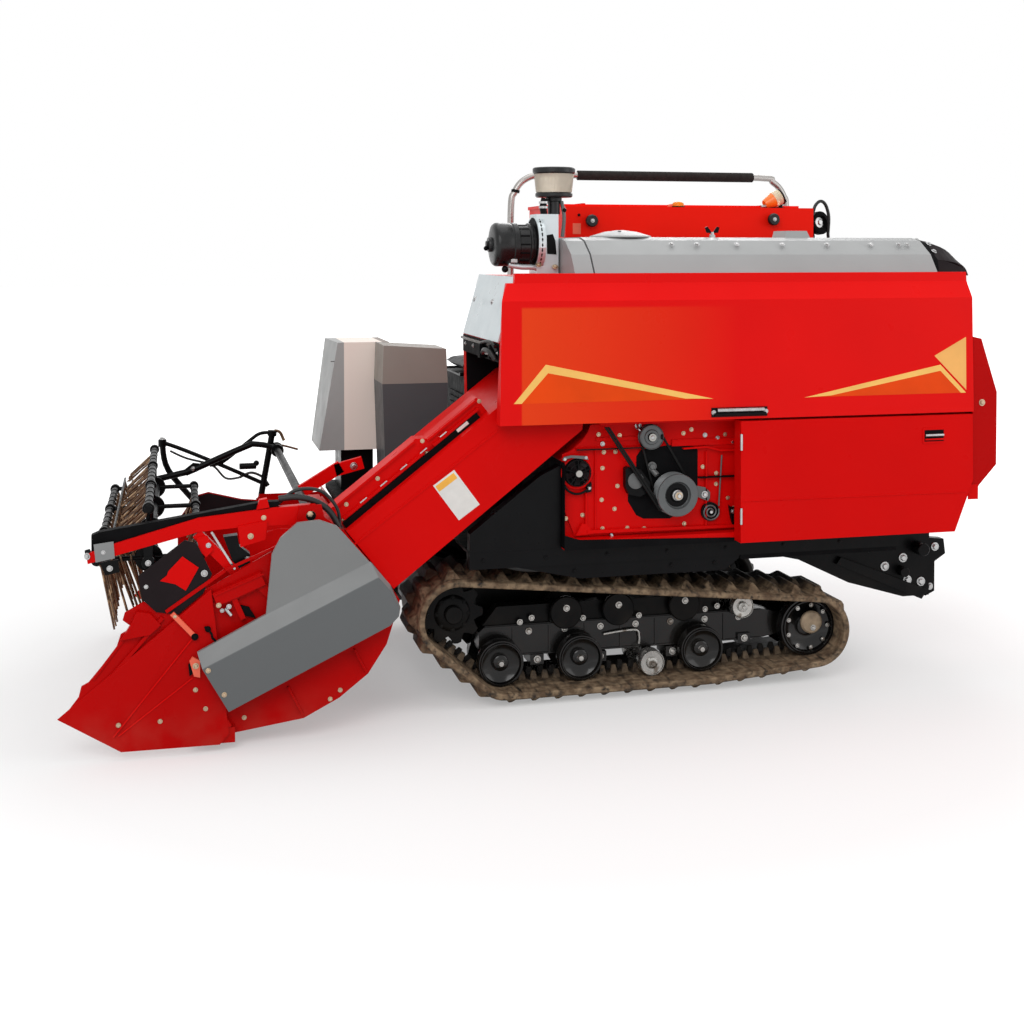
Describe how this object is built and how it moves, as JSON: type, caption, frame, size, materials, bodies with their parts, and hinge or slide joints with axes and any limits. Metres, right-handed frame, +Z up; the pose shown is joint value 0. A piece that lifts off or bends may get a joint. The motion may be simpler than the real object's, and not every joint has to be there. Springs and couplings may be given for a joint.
{
  "type": "rubber-track combine harvester",
  "caption": "Compact tracked combine harvester with reel header, sloping feeder, side threshing body, grain tank, operator console, guard rail and hinged covers.",
  "frame": {"origin": "on the ground, at the middle of the bounding box in length and width", "axes": "+X from the header towards the rear hood, +Y towards the machine's right side, +Z up"},
  "size_m": [3.426, 1.76, 2.026],
  "materials": {
    "red_paint": "gloss",
    "black_paint": "gloss",
    "grey_paint": "satin",
    "track_rubber": "matt",
    "galvanised": "satin",
    "pulley_grey": "satin",
    "chrome_tube": "polished",
    "cast_grey": "matt",
    "seat_vinyl": "satin",
    "grey_plastic": "satin",
    "black_plastic": "satin",
    "amber_plastic": "gloss",
    "bright_steel": "satin"
  },
  "bodies": {
    "machine": {"chassis_frame": "black_paint", "left_track": "track_rubber", "right_track": "track_rubber", "left_track_frame": "black_paint", "right_track_frame": "black_paint", "drive_axle": "black_paint", "rear_hitch": "black_paint", "threshing_body": "red_paint", "front_sheet": "galvanised", "top_cover_cap": "grey_paint", "rear_hood": "red_paint", "drive_plate": "red_paint", "grain_tank": "red_paint", "bagging_platform": "black_paint", "guard_rail": "chrome_tube", "operator_platform": "black_paint", "engine_cover": "black_paint", "engine": "cast_grey", "seat": "seat_vinyl", "console": "grey_plastic", "console_post": "black_paint", "air_cleaner": "black_plastic", "intake_bracket": "galvanised", "pre_cleaner": "black_plastic", "beacon": "amber_plastic", "work_lamp": "amber_plastic", "front_post": "black_paint", "side_console": "black_plastic", "front_cross_leg": "black_paint", "rear_cross_leg": "black_paint"},
    "header": {"feeder_house": "red_paint", "feeder_side_cover": "red_paint", "feeder_top_beam": "red_paint", "header_trough": "red_paint", "left_divider": "red_paint", "right_divider": "red_paint", "header_drive_cover": "grey_paint", "header_guard_frame": "black_paint", "reel_guard_plate": "black_paint"},
    "knife": {"knife_bar": "bright_steel"},
    "auger_rotor": {"auger": "red_paint"},
    "reel_arms": {"left_reel_arm": "red_paint", "right_reel_arm": "black_paint", "reel_cross_tube": "bright_steel", "hose_channel": "black_paint"},
    "reel_rotor": {"reel": "black_paint"},
    "lift_barrel": {"lift_cylinder": "black_paint"},
    "lift_piston_rod": {"lift_rod": "chrome_tube"},
    "upper_panel": {"upper_side_panel": "red_paint"},
    "rear_door": {"lower_rear_door": "red_paint"},
    "drum_cover": {"top_cover": "grey_paint"},
    "grain_lid": {"tank_lid": "red_paint"},
    "main_pulley": {"big_pulley": "pulley_grey"},
    "small_pulley": {"idler_pulley": "pulley_grey"},
    "fan_rotor": {"fan_wheel": "black_paint"}
  },
  "joints": [
    {"name": "header_lift", "type": "hinge", "parent": "machine", "child": "header", "pos_m": [-0.04, -0.42, 1.084], "axis": [0, 1, 0], "range_deg": [0, 22]},
    {"name": "lift_barrel_swing", "type": "hinge", "parent": "machine", "child": "lift_barrel", "pos_m": [-0.1, -0.218, 0.4], "axis": [0, 1, 0], "range_deg": [0, 10.88]},
    {"name": "lift_rod_slide", "type": "slide", "parent": "lift_barrel", "child": "lift_piston_rod", "axis": [-0.9341, 0, 0.3571], "range_m": [0, 0.2463]},
    {"name": "knife_stroke", "type": "slide", "parent": "header", "child": "knife", "axis": [0, 1, 0], "range_m": [-0.02, 0.02]},
    {"name": "auger_spin", "type": "hinge", "parent": "header", "child": "auger_rotor", "pos_m": [-0.905, 0, 0.338], "axis": [0, 1, 0], "continuous": true},
    {"name": "reel_lift", "type": "hinge", "parent": "header", "child": "reel_arms", "pos_m": [-0.895, 0, 0.763], "axis": [0, 1, 0], "range_deg": [0, 25]},
    {"name": "reel_spin", "type": "hinge", "parent": "reel_arms", "child": "reel_rotor", "pos_m": [-1.425, 0, 0.63], "axis": [0, 1, 0], "continuous": true},
    {"name": "upper_panel_hinge", "type": "hinge", "parent": "machine", "child": "upper_panel", "pos_m": [0.7, -0.741, 1.575], "axis": [-1, 0, 0], "range_deg": [0, 85]},
    {"name": "rear_door_hinge", "type": "hinge", "parent": "machine", "child": "rear_door", "pos_m": [0.656, -0.8, 0.814], "axis": [0, 0, -1], "range_deg": [0, 110]},
    {"name": "drum_cover_hinge", "type": "hinge", "parent": "machine", "child": "drum_cover", "pos_m": [0.8, -0.122, 1.7], "axis": [-1, 0, 0], "range_deg": [0, 75]},
    {"name": "grain_lid_hinge", "type": "hinge", "parent": "machine", "child": "grain_lid", "pos_m": [0.7525, 0.528, 1.8353], "axis": [-1, 0, 0], "range_deg": [0, 95]},
    {"name": "main_pulley_spin", "type": "hinge", "parent": "machine", "child": "main_pulley", "pos_m": [0.43, -0.72, 0.768], "axis": [0, 1, 0], "continuous": true},
    {"name": "small_pulley_spin", "type": "hinge", "parent": "machine", "child": "small_pulley", "pos_m": [0.342, -0.71, 0.978], "axis": [0, 1, 0], "continuous": true},
    {"name": "fan_spin", "type": "hinge", "parent": "machine", "child": "fan_rotor", "pos_m": [0.066, -0.71, 0.856], "axis": [0, 1, 0], "continuous": true}
  ],
  "couplings": [
    {"joint": "lift_barrel_swing", "follows": "header_lift", "ratio": 0.48983},
    {"joint": "lift_rod_slide", "follows": "header_lift", "m_per_rad": 0.63887}
  ]
}
